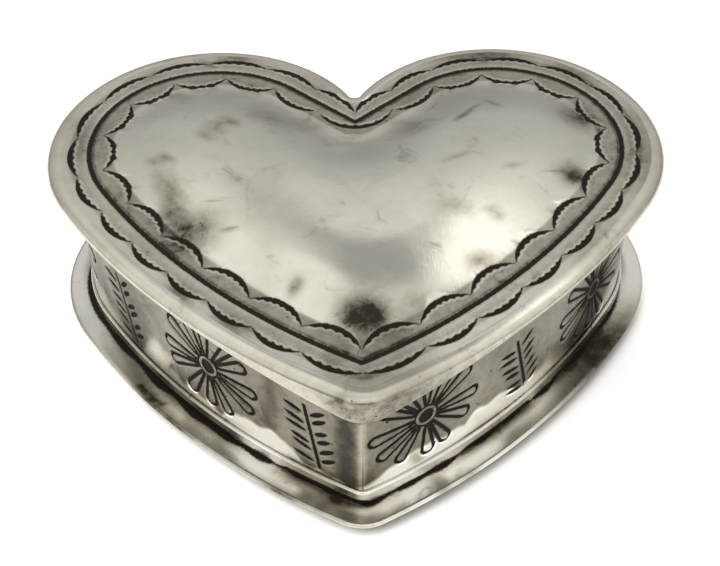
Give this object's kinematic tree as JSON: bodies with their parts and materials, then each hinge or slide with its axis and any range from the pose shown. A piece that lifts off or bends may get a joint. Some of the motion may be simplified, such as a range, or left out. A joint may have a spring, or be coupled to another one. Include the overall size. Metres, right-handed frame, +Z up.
{
  "type": "wind-up music box",
  "caption": "Heart-shaped music box of stamped sheet silver with a puffed lift-off lid, flat base plate, pinned-cylinder movement, comb, governor and winding key.",
  "frame": {"origin": "centre of the bounding box, on the surface the box stands on", "axes": "+X across the heart, +Y from the tip to the lobes, +Z up"},
  "size_m": [0.12, 0.0978, 0.0429],
  "materials": {
    "silver": "polished, worn, with dark oxide in the stamped marks",
    "nickel": "satin plated",
    "brass": "bright",
    "steel": "ground",
    "spring_steel": "blued"
  },
  "bodies": {
    "case": {"base_plate": "silver", "feet": "silver", "base_collar": "silver", "body_wall": "silver", "bedplate": "nickel", "mounting_posts": "nickel", "base_screws": "steel", "click": "spring_steel", "cylinder_post": "nickel", "comb": "steel", "comb_base": "nickel", "comb_screws": "steel", "governor_frame": "nickel", "governor_cock": "nickel", "stop_spring": "spring_steel"},
    "lid": {"lid_shell": "silver", "lid_bezel": "silver"},
    "key": {"winding_key": "nickel", "winding_arbor": "steel", "ratchet_wheel": "brass"},
    "barrel": {"spring_barrel": "brass", "barrel_cap": "brass", "mainspring": "spring_steel"},
    "cylinder": {"pin_cylinder": "brass", "cylinder_arbor": "steel", "drive_pinion": "brass", "cylinder_gear": "brass"},
    "governor": {"governor_arbor": "steel", "governor_pinion": "brass", "worm_wheel": "brass"},
    "fly": {"fly_worm": "steel", "fly_vanes": "brass"},
    "stop": {"stop_plunger": "steel"}
  },
  "joints": [
    {"name": "lid_lift", "type": "slide", "parent": "case", "child": "lid", "axis": [0, 0, 1], "range_m": [0, 0.045]},
    {"name": "key_wind", "type": "hinge", "parent": "case", "child": "key", "pos_m": [-0.014, 0.001, 0], "axis": [0, 0, 1], "range_deg": [0, 1530], "deforming": ["click"]},
    {"name": "barrel_turn", "type": "hinge", "parent": "case", "child": "barrel", "pos_m": [-0.014, 0.001, 0], "axis": [0, 0, 1], "continuous": true},
    {"name": "cylinder_turn", "type": "hinge", "parent": "case", "child": "cylinder", "pos_m": [0, 0.001, 0.0252], "axis": [1, 0, 0], "continuous": true},
    {"name": "governor_turn", "type": "hinge", "parent": "case", "child": "governor", "pos_m": [0, 0.00694, 0.01926], "axis": [1, 0, 0], "continuous": true},
    {"name": "fly_turn", "type": "hinge", "parent": "case", "child": "fly", "pos_m": [0.0206, 0.01224, 0], "axis": [0, 0, 1], "continuous": true},
    {"name": "stop_rise", "type": "slide", "parent": "case", "child": "stop", "axis": [0, 0, 1], "range_m": [0, 0.0018], "deforming": ["stop_spring"]}
  ],
  "couplings": [
    {"joint": "cylinder_turn", "follows": "barrel_turn", "ratio": 2.8571},
    {"joint": "governor_turn", "follows": "barrel_turn", "ratio": -10.476},
    {"joint": "fly_turn", "follows": "barrel_turn", "ratio": 209.52},
    {"joint": "stop_rise", "follows": "lid_lift", "ratio": 0.04}
  ]
}
